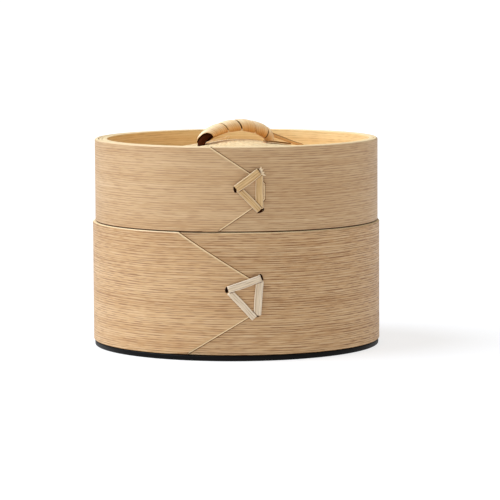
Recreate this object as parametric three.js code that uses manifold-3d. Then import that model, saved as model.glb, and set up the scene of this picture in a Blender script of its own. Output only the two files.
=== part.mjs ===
// A bamboo steamer: one deep basket tier, standing on a silicone ring, with a lift-off lid.
// Millimetres, +Z up. The origin is on the surface it stands on, under the middle of its outline.
import * as THREE from "three";
import { mergeVertices } from "three/addons/utils/BufferGeometryUtils.js";
import Module from "manifold-3d";

const wasm = await Module();
wasm.setup();

// ---- Driving dimensions ----

const GAP = 0.3; // clearance between pieces that touch
const BORE_X = 2; // the bore is off the outline's middle, because the hoops lap on the left
const BORE_Y = 1;

const BASKET_RADIUS = 127; // outline of the basket's hoop
const LID_RADIUS = 125.5; // outline of the lid's hoop
const BASKET_HEIGHT = 105.1;
const LID_HEIGHT = 72.6;
const FOOT_HEIGHT = 4.2;
const FOOT_RADIUS = 126.1;

const BASKET_STRIP = 4; // thickness of the basket's outer strip
const LID_STRIP = 3.2; // thickness of the lid's outer strip
const FEATHER = 1.2; // a strip's first end, under the lap, is shaved down to this
const ARROW_THICK = 1.5; // the arrow at a strip's last end is shaved down to this
const LID_RUNNING = 0.6; // radial clearance of the lid over the basket's lip
const LIP_HEIGHT = 11;
const BASKET_BORE = 116.5; // inside radius of the basket
const LID_BORE = 116; // inside radius of the lid

const CROWN_DROP = 1.5; // the panel's crown is this far below the lid's rim
const DOME_SLOPE = 0.175;
const CROWN_FLAT = 6; // radius of the dome's flat crown
const CROWN_ROUND = 10; // radius over which the dome turns from flat to sloping
const MAT_THICK = 1.5;
const RIB_WIDTH = 12;
const RIB_THICK = 2.4;

const SUPPORT_HEIGHT = 14; // ring under the floor
const SUPPORT_BORE = 114.8;
const BAR_REACH = 118.6; // radius that the ends of the cross bars are cut to
const SLAT_REACH = 119;
const BAR_WIDTH = 12;
const BAR_HEIGHT = 6;
const BAR_OFFSET = 50;
const SLAT_COUNT = 9;
const SLAT_WIDTH = 17.5;
const SLAT_PITCH = 24.3;
const SLAT_THICK = 4;
const PEG_RADIUS = 1.6;
const PEG_HEIGHT = 7; // of the pegs' axes above the hoop's lower edge
const PEG_FROM = 113.6; // radii of the pegs' two ends
const PEG_TO = 122.9;
const PEG_ANGLES = [60, 120, 240, 300];
const FOOT_BORE = 108.5;
const FOOT_STEP_BORE = 112; // the step that centres the ring in the support ring
const FOOT_EDGE = 0.6; // chamfer of the ring's outer lower edge

const LACE_THICK = 1.1;
const CORE_RADIUS = 3.2;
const WRAP_OUTER = 5.3;
const WRAP_THICK = 1;
const WRAP_PITCH = 14.2;
const WRAP_WIDTH = 13.2;
const HANDLE_TURN = 26; // degrees that the handle is turned from the left-right line
const PIN_RADIUS = 1.3;
const PIN_LENGTH = 17;
const THROUGH = 5; // how far a cutter runs past what it cuts

// ---- Heights and radii that follow ----

const BASKET_Z = FOOT_HEIGHT + GAP;
const BASKET_TOP = BASKET_Z + BASKET_HEIGHT;
const LIP_TOP = BASKET_TOP + LIP_HEIGHT;
const LID_Z = BASKET_TOP + GAP;
const LID_TOP = LID_Z + LID_HEIGHT;
const BASKET_TURN = BASKET_RADIUS - BORE_X; // outer radius of a strip's first turn
const LID_TURN = LID_RADIUS - BORE_X;
const BASKET_STRIP_BORE = BASKET_TURN - BASKET_STRIP;
const LID_STRIP_BORE = LID_TURN - LID_STRIP;
const FLOOR_Z = BASKET_Z + SUPPORT_HEIGHT; // top of the support ring and the cross bars
const SLAT_Z = FLOOR_Z + GAP;
const PANEL_RADIUS = LID_BORE - 0.5; // the mats turn flat here, to be clamped between hoops
const MAT_RADIUS = LID_STRIP_BORE - 0.7;

const RING_STEPS = 60;
const COLOURS = {
  basket: 0xcfa97c,
  lid: 0xdabb92,
  inside: 0xe3c48c,
  lace: 0xd8c8aa,
  lidLace: 0xcaa66c,
  cane: 0xe9c98f,
  mat: 0xe6cda4,
  silicone: 0x141516,
};

// ---- Shared geometry ----

const radians = THREE.MathUtils.degToRad;

// A point at an angle round the bore: 0 is the front and positive is to the right.
function around(angle, radius, z) {
  return [BORE_X + radius * Math.sin(angle), BORE_Y - radius * Math.cos(angle), z];
}

// Moves every vertex of a geometry to place(x, y, z).
function bend(geometry, place) {
  const p = geometry.getAttribute("position");
  for (let i = 0; i < p.count; i++) {
    p.setXYZ(i, ...place(p.getX(i), p.getY(i), p.getZ(i)));
  }
  return geometry;
}

function toSolid(geometry) {
  const bare = geometry.clone();
  bare.deleteAttribute("normal");
  bare.deleteAttribute("uv");
  const merged = mergeVertices(bare, 1e-3);
  const vertProperties = merged.getAttribute("position").array;
  const triVerts = new Uint32Array(merged.index.array);
  return new wasm.Manifold(new wasm.Mesh({ numProp: 3, vertProperties, triVerts }));
}

function toGeometry(solid) {
  const mesh = solid.getMesh();
  const geometry = new THREE.BufferGeometry();
  geometry.setAttribute("position", new THREE.BufferAttribute(mesh.vertProperties, 3));
  geometry.setIndex(new THREE.BufferAttribute(mesh.triVerts, 1));
  geometry.computeVertexNormals();
  return geometry;
}

function join(first, ...others) {
  return toGeometry(others.reduce((sum, g) => sum.add(toSolid(g)), toSolid(first)));
}

function cut(body, ...tools) {
  return toGeometry(tools.reduce((rest, g) => rest.subtract(toSolid(g)), toSolid(body)));
}

function keepInside(body, limit) {
  return toGeometry(toSolid(body).intersect(toSolid(limit)));
}

// A solid of revolution about a vertical axis, from a closed outline of [radius, z] points
// that runs anticlockwise, outwards along the bottom first.
function ring(outline, x = BORE_X, y = BORE_Y, steps = RING_STEPS) {
  const points = outline.map(([radius, z]) => new THREE.Vector2(radius, z));
  const onAxis = outline[0][0] === 0;
  if (!onAxis) points.push(points[0].clone());
  return new THREE.LatheGeometry(points, steps).rotateX(Math.PI / 2).translate(x, y, 0);
}

function hoop(inner, outer, low, high) {
  return ring([[inner, low], [outer, low], [outer, high], [inner, high]]);
}

function box(sizeX, sizeY, sizeZ, x, y, z) {
  return new THREE.BoxGeometry(sizeX, sizeY, sizeZ).translate(x, y, z);
}

// A rod that points out from the bore's axis at an angle.
function radialRod(radius, angle, from, to, z) {
  const rod = new THREE.CylinderGeometry(radius, radius, to - from, 12);
  rod.translate(0, -(from + to) / 2, 0).rotateZ(angle).translate(BORE_X, BORE_Y, z);
  return rod;
}

// ---- Strip hoops: one strip that goes once round, then laps over itself to an arrow ----

const START = -150; // degrees: where the strip's first end is, under the lap
const CLIMB = 165; // degrees: where the strip begins to climb over its first end
const SHAVED = 20; // degrees over which the first end is shaved
const SIDE = 270; // degrees: from here, on the left, the lap is shaved towards its arrow

const clampedShare = (value, from, to) => THREE.MathUtils.clamp((value - from) / (to - from), 0, 1);

// arrow: angles in degrees where its upper and lower edges leave the strip's edges, the angle
// of its blunt tip, and the tip's lowest and highest z above the strip's lower edge.
function stripHoop({ turnOuter, thick, z, height, arrow }) {
  const arrowStart = 360 + arrow.upper;
  const stations = [];
  for (let angle = START; angle < CLIMB; angle += 6) stations.push(angle);
  for (let angle = CLIMB; angle < SIDE; angle += 5) stations.push(angle);
  for (let angle = SIDE; angle < arrowStart - 3; angle += 6) stations.push(angle);
  const arrowSteps = 6;
  for (let i = 0; i <= arrowSteps; i++) {
    stations.push(arrowStart + ((arrow.tip - arrow.upper) * i) / arrowSteps);
  }
  stations.push(360 + arrow.lower);
  stations.sort((a, b) => a - b);

  const shavedStart = (angle) => {
    return FEATHER + (thick - FEATHER) * clampedShare(angle, START, START + SHAVED);
  };
  const thickness = (angle) => {
    if (angle < START + SHAVED) return shavedStart(angle);
    return thick - (thick - ARROW_THICK) * clampedShare(angle, SIDE, arrowStart);
  };
  const lift = (angle) => {
    if (angle < START + 360) {
      return (FEATHER + GAP) * clampedShare(angle, CLIMB, START + 355);
    }
    return shavedStart(angle - 360) + GAP;
  };
  const count = stations.length - 1;
  return bend(new THREE.BoxGeometry(count, 1, 1, count, 1, 1), (x, y, v) => {
    const angle = stations[Math.round(x + count / 2)];
    const fromOutside = y + 0.5;
    const inner = turnOuter - thick + lift(angle);
    const radius = inner + thickness(angle) * (1 - fromOutside);
    const upper = clampedShare(angle, arrowStart, 360 + arrow.tip);
    const lower = clampedShare(angle, 360 + arrow.lower, 360 + arrow.tip);
    const high = height - (height - arrow.tipHigh) * upper;
    const low = arrow.tipLow * lower;
    return around(radians(angle), radius, z + low + (high - low) * (v + 0.5));
  });
}

// ---- Lacing: a flat strip in and out of three slots ----

// A flat bar laid on the hoop from one [along, up] point to another, between two radii.
// along is measured in millimetres round the outside from the front.
function laidBar(from, to, width, inner, outer, stretch = 0) {
  const length = Math.hypot(to[0] - from[0], to[1] - from[1]);
  const tilt = Math.atan2(to[1] - from[1], to[0] - from[0]);
  const bar = new THREE.BoxGeometry(length + 2 * stretch, outer - inner, width, 4, 1, 1);
  return bend(bar, (x, y, across) => {
    const along = (from[0] + to[0]) / 2 + x * Math.cos(tilt) - across * Math.sin(tilt);
    const up = (from[1] + to[1]) / 2 + x * Math.sin(tilt) + across * Math.cos(tilt);
    return around(along / outer, (inner + outer) / 2 - y, up);
  });
}

// A bar through the hoop at a point, turned so that its long side is square to a direction.
function post(at, direction, size, thick, inner, outer) {
  const half = [(-Math.sin(direction) * size) / 2, (Math.cos(direction) * size) / 2];
  const from = [at[0] - half[0], at[1] - half[1]];
  const to = [at[0] + half[0], at[1] + half[1]];
  return laidBar(from, to, thick, inner, outer);
}

const heading = (from, to) => Math.atan2(to[1] - from[1], to[0] - from[0]);

// The three slots and the lace that runs through them, for the hoop of one body.
// left, top and bottom are the triangle's corners as [along, up].
function lacing({ left, top, bottom, width, stripBore, face }) {
  const floorOfPocket = stripBore + LACE_THICK + GAP;
  const innerFrom = stripBore + GAP / 3;
  const innerTo = innerFrom + LACE_THICK;
  const legFrom = face + GAP;
  const legTo = legFrom + LACE_THICK;
  const corners = [
    [left, Math.PI],
    [top, heading(left, top)],
    [bottom, heading(left, bottom)],
  ];
  const posts = corners.map(([at, facing]) => {
    return post(at, facing, width - 0.4, LACE_THICK + 0.5, innerFrom, legTo);
  });
  const legs = [[left, top], [left, bottom], [bottom, top]].map(([a, b]) => {
    return laidBar(a, b, width, legFrom, legTo, 0.6);
  });
  const inside = [[left, top], [left, bottom]].map(([a, b]) => {
    return laidBar(a, b, width, innerFrom, innerTo, 0.6);
  });
  const slots = corners.map(([at, facing]) => {
    const [cutWidth, cutLength] = [width + 1, LACE_THICK + 2.6];
    return post(at, facing, cutWidth, cutLength, stripBore - THROUGH, face + THROUGH);
  });
  const pockets = [[left, top], [left, bottom]].map(([a, b]) => {
    return laidBar(a, b, width + 1, stripBore - THROUGH, floorOfPocket, 1.6);
  });
  return { lace: join(...legs, ...posts, ...inside), cuts: [...slots, ...pockets] };
}

// ---- Basket ----

const basketLacing = lacing({
  left: [-9.5, BASKET_Z + 58.3],
  top: [18.2, BASKET_Z + 66.6],
  bottom: [14.6, BASKET_Z + 35],
  width: 5.8,
  stripBore: BASKET_STRIP_BORE,
  face: BASKET_TURN + GAP + ARROW_THICK,
});

function basketOuterHoop() {
  const strip = stripHoop({
    turnOuter: BASKET_TURN,
    thick: BASKET_STRIP,
    z: BASKET_Z,
    height: BASKET_HEIGHT,
    arrow: { upper: -24.2, lower: -20.9, tip: 7.5, tipLow: 37.8, tipHigh: 61.7 },
  });
  const pegHoles = PEG_ANGLES.map((angle) => {
    const [from, to] = [BASKET_STRIP_BORE - THROUGH, PEG_TO + 2 * GAP];
    return radialRod(PEG_RADIUS + GAP, radians(angle), from, to, BASKET_Z + PEG_HEIGHT);
  });
  return cut(strip, ...basketLacing.cuts, ...pegHoles);
}

function basketInnerHoop() {
  const low = SLAT_Z + SLAT_THICK + GAP;
  const body = BASKET_STRIP_BORE - GAP;
  const lip = LID_STRIP_BORE - LID_RUNNING;
  return ring([
    [BASKET_BORE, low],
    [body, low],
    [body, BASKET_TOP - 0.5],
    [lip, BASKET_TOP],
    [lip, LIP_TOP - 1.2],
    [lip - 0.8, LIP_TOP],
    [BASKET_BORE, LIP_TOP],
  ]);
}

function crossBar(side) {
  const z = FLOOR_Z - BAR_HEIGHT / 2;
  const bar = box(BAR_WIDTH, 260, BAR_HEIGHT, BORE_X + side * BAR_OFFSET, BORE_Y, z);
  return keepInside(bar, ring([[0, 0], [BAR_REACH, 0], [BAR_REACH, 40], [0, 40]]));
}

const NOTCH_LENGTH = 40; // of the cutters that leave the support ring's notches for the bars

function supportRing() {
  const body = hoop(SUPPORT_BORE, BASKET_STRIP_BORE - GAP, BASKET_Z, FLOOR_Z);
  const notchHeight = BAR_HEIGHT + GAP;
  const notches = [-1, 1].flatMap((side) => {
    const x = BORE_X + side * BAR_OFFSET;
    return [-1, 1].map((end) => {
      const y = BORE_Y + end * (BAR_REACH + GAP - NOTCH_LENGTH / 2);
      const z = FLOOR_Z - notchHeight / 2 + 1;
      return box(BAR_WIDTH + 2 * GAP, NOTCH_LENGTH, notchHeight + 2, x, y, z);
    });
  });
  const pegHoles = PEG_ANGLES.map((angle) => {
    const [from, to] = [SUPPORT_BORE - THROUGH, BASKET_STRIP_BORE + THROUGH];
    return radialRod(PEG_RADIUS + GAP, radians(angle), from, to, BASKET_Z + PEG_HEIGHT);
  });
  return cut(body, ...notches, ...pegHoles);
}

function floorSlat(index) {
  const y = BORE_Y + (index - (SLAT_COUNT - 1) / 2) * SLAT_PITCH;
  const slat = box(260, SLAT_WIDTH, SLAT_THICK, BORE_X, y, SLAT_Z + SLAT_THICK / 2);
  return keepInside(slat, ring([[0, 0], [SLAT_REACH, 0], [SLAT_REACH, 60], [0, 60]]));
}

function ringPeg(angle) {
  return radialRod(PEG_RADIUS, radians(angle), PEG_FROM, PEG_TO, BASKET_Z + PEG_HEIGHT);
}

// A flat pad under the hoops, as round as the outline, with a step that centres it in the
// support ring.
function footRing() {
  const pad = ring(
    [
      [FOOT_BORE, 0],
      [FOOT_RADIUS - FOOT_EDGE, 0],
      [FOOT_RADIUS, FOOT_EDGE],
      [FOOT_RADIUS, FOOT_HEIGHT],
      [FOOT_BORE, FOOT_HEIGHT],
    ],
    0,
    0,
  );
  return join(pad, hoop(FOOT_STEP_BORE, SUPPORT_BORE - GAP, 1, BASKET_Z + 3.8));
}

// ---- Lid ----

const lidLacing = lacing({
  left: [-2.3, LID_Z + 36.3],
  top: [16.4, LID_Z + 51.6],
  bottom: [17.2, LID_Z + 19.8],
  width: 6.2,
  stripBore: LID_STRIP_BORE,
  face: LID_TURN + GAP + ARROW_THICK,
});

function lidOuterHoop() {
  const strip = stripHoop({
    turnOuter: LID_TURN,
    thick: LID_STRIP,
    z: LID_Z,
    height: LID_HEIGHT,
    arrow: { upper: -11.2, lower: -8.4, tip: 10.4, tipLow: 27.7, tipHigh: 41.7 },
  });
  return cut(strip, ...lidLacing.cuts);
}

// Height of the panel's upper face: a cone whose crown is flat and rounds off into the slope.
function domeZ(radius) {
  const fall = Math.hypot(Math.max(radius - CROWN_FLAT, 0), CROWN_ROUND) - CROWN_ROUND;
  return LID_TOP - CROWN_DROP - DOME_SLOPE * fall;
}

const PANEL_EDGE = domeZ(PANEL_RADIUS);

const MAT_RADII = [0, 6, 11, 18, 28, 42, 64, 88, PANEL_RADIUS];

// One woven layer, whose upper face is a depth below the panel's upper face.
function mat(depth) {
  const upper = MAT_RADII.map((radius) => [radius, domeZ(radius) - depth]);
  upper.push([MAT_RADIUS, PANEL_EDGE - depth]);
  const lower = upper.map(([radius, z]) => [radius, z - MAT_THICK]);
  const body = ring([...lower, ...upper.reverse()], BORE_X, BORE_Y, 48);
  return cut(body, ...HANDLE_ENDS.map((end) => plumbHole(end)));
}

// ---- Handle: along u, across v, both measured from the lid's axis ----

const HANDLE_ENDS = [-36.5, 31.2]; // u of the two places where the core goes through the panel
const handleTurn = radians(HANDLE_TURN);

function onPanel(u, v, z) {
  const x = BORE_X + u * Math.cos(handleTurn) - v * Math.sin(handleTurn);
  return [x, BORE_Y + u * Math.sin(handleTurn) + v * Math.cos(handleTurn), z];
}

function plumbHole(u) {
  const radius = CORE_RADIUS + 3 * GAP; // the bent core isn't quite plumb in it
  const hole = new THREE.CylinderGeometry(radius, radius, 60, 12);
  return hole.rotateX(Math.PI / 2).translate(...onPanel(u, 0, LID_TOP - 10));
}

// Heights along the handle are measured from the lid's rim.
const ARCH = [
  [-36.3, -5.6],
  [-34.6, -1.6],
  [-31.3, 2.1],
  [-24.8, 5.8],
  [-18, 8.1],
  [-11, 9.8],
  [-1.1, 10.9],
  [5, 10.7],
  [11.1, 9.8],
  [19.5, 7.4],
  [25, 4.9],
  [28.6, 1.9],
  [30.6, -1.6],
  [31.2, -5.4],
];
const CORE_FOOT = -19;

function curveThrough(points) {
  return new THREE.CatmullRomCurve3(points.map(([u, z]) => new THREE.Vector3(u, 0, z)));
}

const wrapCurve = curveThrough(ARCH);
const coreCurve = curveThrough([
  [HANDLE_ENDS[0], CORE_FOOT],
  [HANDLE_ENDS[0], -11],
  ...ARCH,
  [HANDLE_ENDS[1], -11],
  [HANDLE_ENDS[1], CORE_FOOT],
]);
const WRAP_START = -Math.PI / 2; // a turn is counted from behind the handle
const WRAP_BEFORE = 0.1; // part of a turn by which the strip starts before that
const WRAP_FROM = 8.1; // along the arch, where the evenly wound strip's left edge would start
const WRAP_MOUTH = 1.5; // where its back and top reach instead, so that its mouth faces forwards
const WRAP_LEAST = 3; // the strip ends where only this much of its width is left

function handleCore() {
  const section = new THREE.Shape().absarc(0, 0, CORE_RADIUS, 0, 2 * Math.PI);
  const rod = new THREE.ExtrudeGeometry(section, {
    steps: 36,
    curveSegments: 5,
    extrudePath: coreCurve,
  });
  const pinHoles = HANDLE_ENDS.map((u) => pinRod(u, PIN_RADIUS + GAP, PIN_LENGTH));
  return cut(rod, ...pinHoles);
}

// The pins lie under the ribs, along the handle.
function pinRod(u, radius, length) {
  const rod = new THREE.CylinderGeometry(radius, radius, length, 10);
  return rod.rotateZ(Math.PI / 2).translate(u, 0, pinZ(u));
}

function pinZ(u) {
  const underMats = domeZ(Math.abs(u) + RIB_WIDTH / 2) - 2 * (MAT_THICK + GAP) - 0.6;
  return underMats - RIB_THICK - PIN_RADIUS - GAP - LID_TOP;
}

// How far along the arch the strip's left edge is, after a number of turns.
function wrapLeft(turned) {
  const even = WRAP_FROM + turned * WRAP_PITCH;
  const { smoothstep } = THREE.MathUtils;
  const open = smoothstep(turned, -0.1, 0.1) * (1 - smoothstep(turned, 0.15, 0.5));
  return even + (WRAP_MOUTH - even) * open;
}

// A flat strip wound round the arch, its turns a little apart.
function handleWrap() {
  const length = wrapCurve.getLength();
  const turns = WRAP_BEFORE + (length - WRAP_FROM - WRAP_LEAST) / WRAP_PITCH;
  const strip = new THREE.BoxGeometry(1, 1, 1, Math.round(turns * 14), 2, 1);
  const wound = bend(strip, (x, y, w) => {
    const turned = (x + 0.5) * turns - WRAP_BEFORE;
    const left = wrapLeft(turned);
    const right = Math.min(WRAP_FROM + turned * WRAP_PITCH + WRAP_WIDTH, length);
    const share = THREE.MathUtils.clamp((left + (right - left) * (y + 0.5)) / length, 0, 1);
    const at = wrapCurve.getPointAt(share);
    const way = wrapCurve.getTangentAt(share);
    const radius = WRAP_OUTER - WRAP_THICK * (0.5 - w);
    const angle = 2 * Math.PI * turned + WRAP_START;
    const up = radius * Math.cos(angle);
    return [at.x - way.z * up, -radius * Math.sin(angle), at.z + way.x * up];
  });
  return cut(wound, belowPanel());
}

// Everything below the panel's upper face, in the handle's own frame.
function belowPanel() {
  const face = MAT_RADII.map((radius) => [radius, domeZ(radius) + GAP - LID_TOP]);
  const depth = LID_TOP - PANEL_EDGE + THROUGH;
  return ring([[0, -depth], [PANEL_RADIUS, -depth], ...face.reverse()], 0, 0, 48);
}

// A flat strip along a line of [u, v, z] points, width across it and thickness under it.
function laidStrip(points, width, thick, steps) {
  const curve = new THREE.CatmullRomCurve3(points.map((p) => new THREE.Vector3(...p)));
  const strip = new THREE.BoxGeometry(1, width, thick, steps, 1, 1);
  return bend(strip, (x, y, z) => {
    const at = curve.getPointAt(x + 0.5);
    const way = curve.getTangentAt(x + 0.5);
    const side = new THREE.Vector3(-way.y, way.x, 0).normalize();
    const up = way.clone().cross(side);
    return [at.x + side.x * y + up.x * z, at.y + side.y * y + up.y * z, at.z + up.z * z];
  });
}

function rib(u) {
  const side = Math.abs(u) + RIB_WIDTH / 2;
  const reach = Math.sqrt((PANEL_RADIUS - 2 * GAP) ** 2 - side ** 2);
  const strip = new THREE.BoxGeometry(RIB_WIDTH, 2 * reach, 1, 2, 20, 1);
  const bent = bend(strip, (x, y, w) => {
    const radius = Math.hypot(u + x, y);
    const top = domeZ(radius) - 2 * (MAT_THICK + GAP) - 0.4;
    return onPanel(u + x, y, top - RIB_THICK * (0.5 - w));
  });
  return cut(bent, plumbHole(u));
}

// ---- Assembly ----

function node(name, geometry, color, roughness = 0.6) {
  const material = new THREE.MeshStandardMaterial({ color, roughness, metalness: 0 });
  const mesh = new THREE.Mesh(geometry, material);
  mesh.name = name;
  return mesh;
}

function basket() {
  const group = new THREE.Group();
  const { basket: outside, inside, lace, silicone } = COLOURS;
  group.add(node("silicone_foot_ring", footRing(), silicone, 0.45));
  group.add(node("base_outer_hoop", basketOuterHoop(), outside));
  group.add(node("base_inner_hoop", basketInnerHoop(), inside));
  group.add(node("base_lacing", basketLacing.lace, lace));
  group.add(node("floor_support_ring", supportRing(), inside));
  group.add(node("cross_bar_left", crossBar(-1), inside));
  group.add(node("cross_bar_right", crossBar(1), inside));
  for (let i = 0; i < SLAT_COUNT; i++) {
    group.add(node(`floor_slat_${i + 1}`, floorSlat(i), inside));
  }
  PEG_ANGLES.forEach((angle, i) => group.add(node(`ring_peg_${i + 1}`, ringPeg(angle), lace)));
  return group;
}

// [u, v, height above the rim] along the two loose strips at the handle's right end.
const TAIL_STRIP = [[37, 1, 0.3], [47, 1.4, -3.3], [57, 1.8, -6.9], [66, 2.2, -9.4]];
const TIE_STRIP = [[16, -20, -2.7], [25, -18.2, -3.5], [35, -16, -4.8], [44, -14, -6.1]];

function handle() {
  const group = new THREE.Group();
  group.position.set(BORE_X, BORE_Y, LID_TOP);
  group.rotation.z = handleTurn;
  group.add(node("handle_core", handleCore(), COLOURS.cane));
  group.add(node("handle_wrap", handleWrap(), COLOURS.cane, 0.5));
  group.add(node("handle_pin_left", pinRod(HANDLE_ENDS[0], PIN_RADIUS, PIN_LENGTH), COLOURS.lace));
  group.add(node("handle_pin_right", pinRod(HANDLE_ENDS[1], PIN_RADIUS, PIN_LENGTH), COLOURS.lace));
  group.add(node("handle_tail_strip", laidStrip(TAIL_STRIP, 5, 1.2, 6), COLOURS.cane));
  group.add(node("handle_tie_strip", laidStrip(TIE_STRIP, 6, 1.1, 6), COLOURS.cane));
  return group;
}

function lid() {
  const group = new THREE.Group();
  const upperLow = PANEL_EDGE + GAP;
  const lowerHigh = PANEL_EDGE - 2 * MAT_THICK - 2 * GAP;
  const hoopOuter = LID_STRIP_BORE - GAP;
  const clearOfLip = LIP_TOP + 0.9;
  const upper = hoop(LID_BORE, hoopOuter, upperLow, LID_TOP);
  const lower = hoop(LID_BORE, hoopOuter, clearOfLip, lowerHigh);
  group.add(node("lid_outer_hoop", lidOuterHoop(), COLOURS.lid));
  group.add(node("lid_upper_inner_hoop", upper, COLOURS.inside));
  group.add(node("lid_lower_inner_hoop", lower, COLOURS.inside));
  group.add(node("lid_lacing", lidLacing.lace, COLOURS.lidLace));
  group.add(node("lid_woven_mat", mat(0), COLOURS.mat));
  group.add(node("lid_under_mat", mat(MAT_THICK + GAP), COLOURS.mat));
  group.add(node("lid_rib_left", rib(HANDLE_ENDS[0]), COLOURS.inside));
  group.add(node("lid_rib_right", rib(HANDLE_ENDS[1]), COLOURS.inside));
  group.add(handle());
  return group;
}

const steamer = new THREE.Group();
steamer.add(basket(), lid());

export default steamer;
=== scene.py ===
"""A bamboo steamer: the looks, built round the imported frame. Metres, +Z up, front towards -Y."""

import math
import random
from collections import namedtuple
import bmesh
import bpy
import numpy as np
from mathutils import Matrix, Vector


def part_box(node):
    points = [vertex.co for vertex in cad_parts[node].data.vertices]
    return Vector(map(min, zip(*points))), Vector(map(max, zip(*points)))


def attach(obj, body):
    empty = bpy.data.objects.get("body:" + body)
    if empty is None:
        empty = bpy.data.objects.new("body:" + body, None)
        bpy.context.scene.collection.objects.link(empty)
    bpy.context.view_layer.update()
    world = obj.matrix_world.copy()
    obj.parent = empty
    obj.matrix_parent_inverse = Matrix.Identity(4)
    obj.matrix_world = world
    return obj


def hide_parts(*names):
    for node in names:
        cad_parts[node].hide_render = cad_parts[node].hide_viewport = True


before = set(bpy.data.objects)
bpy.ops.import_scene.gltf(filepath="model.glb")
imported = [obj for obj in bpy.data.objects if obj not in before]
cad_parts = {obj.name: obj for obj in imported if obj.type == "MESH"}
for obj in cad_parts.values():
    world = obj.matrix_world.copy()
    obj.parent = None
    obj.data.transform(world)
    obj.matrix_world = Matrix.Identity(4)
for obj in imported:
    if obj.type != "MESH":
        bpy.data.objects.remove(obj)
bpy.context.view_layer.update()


# ---- Places that come from the frame ----

def box_of(node):
    low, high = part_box(node)
    return np.array(low), np.array(high)


def middle_of(node):
    low, high = box_of(node)
    return (low + high) / 2


HOOP_LOW, HOOP_HIGH = box_of("base_outer_hoop")
LID_LOW, LID_HIGH = box_of("lid_outer_hoop")
LIP_LOW, LIP_HIGH = box_of("base_inner_hoop")
UPPER_LOW, UPPER_HIGH = box_of("lid_upper_inner_hoop")
LOWER_LOW, LOWER_HIGH = box_of("lid_lower_inner_hoop")
SUPPORT_LOW, SUPPORT_HIGH = box_of("floor_support_ring")
FOOT_LOW, FOOT_HIGH = box_of("silicone_foot_ring")
BORE_X, BORE_Y = middle_of("lid_upper_inner_hoop")[:2]
RIM_Z = LID_HIGH[2]
HOOP_BASE_Z = HOOP_LOW[2]
LID_BASE_Z = LID_LOW[2]
BASKET_TURN = HOOP_HIGH[0] - BORE_X  # outer radius of the strips' first turns
LID_TURN = LID_HIGH[0] - BORE_X
HOOP_OUTER = (UPPER_HIGH[0] - UPPER_LOW[0]) / 2  # outer radius of the lid's inner hoops
SUPPORT_OUTER = (SUPPORT_HIGH[0] - SUPPORT_LOW[0]) / 2

# ---- Sizes of the parts that the frame's boxes don't give ----

GAP = 0.0003
BASKET_BORE = 0.1165
LID_BORE = 0.116
LIP_RADIUS = HOOP_OUTER - GAP
SUPPORT_BORE = 0.1148
FEATHER = 0.0012
ARROW_THICK = 0.0015
START, CLIMB, SHAVED, SIDE = -150, 165, 20, 270  # degrees along a strip, as in the frame

CROWN_DROP = 0.0015
DOME_SLOPE = 0.175
CROWN_FLAT = 0.006
CROWN_ROUND = 0.010
MAT_THICK = 0.0015
PANEL_RADIUS = LID_BORE - 0.0005
MAT_RADIUS = 0.1192
RIB_THICK = 0.0024

HANDLE_TURN = math.radians(26)
HANDLE_ENDS = (-0.0365, 0.0312)
WRAP_OUTER = 0.0053
CORE_RADIUS = 0.0032


# ---- Camera, light and floor ----

CAMERA_DISTANCE = 2.6835
CAMERA_HEIGHT = 0.3601
CAMERA_DOWN = 0.1032  # radians
CAMERA_RIGHT = 0.0045
CAMERA_ROLL = -0.0046
LENS = 218.4

SUN_DISTANCE = 2.0
COOL_SUN = (0.93, 1.01, 1.13)
WARM_SUN = (1.0, 0.97, 0.92)
ROOM_LIGHT = (1.0, 0.975, 0.94, 1.0)
ROOM_STRENGTH = 0.25
FLOOR_HALF = 30
FLOOR_Z = -0.0002  # a little under the foot ring, so that no two faces share a plane


def make_camera():
    data = bpy.data.cameras.new("camera")
    data.lens = LENS
    data.sensor_width = 36
    data.clip_end = 100
    camera = link("camera", data)
    turn = Matrix.Rotation(-CAMERA_RIGHT, 4, "Z")
    tilt = Matrix.Rotation(math.pi / 2 - CAMERA_DOWN, 4, "X")
    roll = Matrix.Rotation(CAMERA_ROLL, 4, "Z")
    place = Matrix.Translation((0, -CAMERA_DISTANCE, CAMERA_HEIGHT))
    camera.matrix_world = place @ turn @ tilt @ roll
    bpy.context.scene.camera = camera


def make_sun(name, energy, seen_from, degrees, color):
    """A sun that shines on the object from a direction; its disc is some degrees across."""
    data = bpy.data.lights.new(name, "SUN")
    data.energy = energy
    data.color = color
    data.angle = math.radians(degrees)
    light = link(name, data)
    away = Vector(seen_from).normalized()
    light.location = away * SUN_DISTANCE
    light.rotation_euler = away.to_track_quat("Z", "Y").to_euler()


def make_studio():
    """A white room as the camera sees it, dimmer as a light, and three wide suns."""
    world = bpy.data.worlds.new("studio")
    bpy.context.scene.world = world
    world.use_nodes = True
    world.node_tree.nodes.clear()
    nodes = Nodes(world.node_tree)
    seen = nodes.node("Background", {"Color": (1, 1, 1, 1), "Strength": 1.0})
    lit = nodes.node("Background", {"Color": ROOM_LIGHT, "Strength": ROOM_STRENGTH})
    to_camera = nodes.node("LightPath", {}, "Is Camera Ray")
    nodes.node("OutputWorld", {0: nodes.node("MixShader", {0: to_camera, 1: lit, 2: seen})})
    make_sun("key", 3.3, (-1.0, -0.06, 1.2), 50, COOL_SUN)
    make_sun("side", 0.5, (1.0, -0.1, 0.7), 60, WARM_SUN)
    make_sun("front", 0.35, (-0.2, -1.0, 0.45), 60, WARM_SUN)
    bpy.context.scene.view_settings.view_transform = "Standard"


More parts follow.
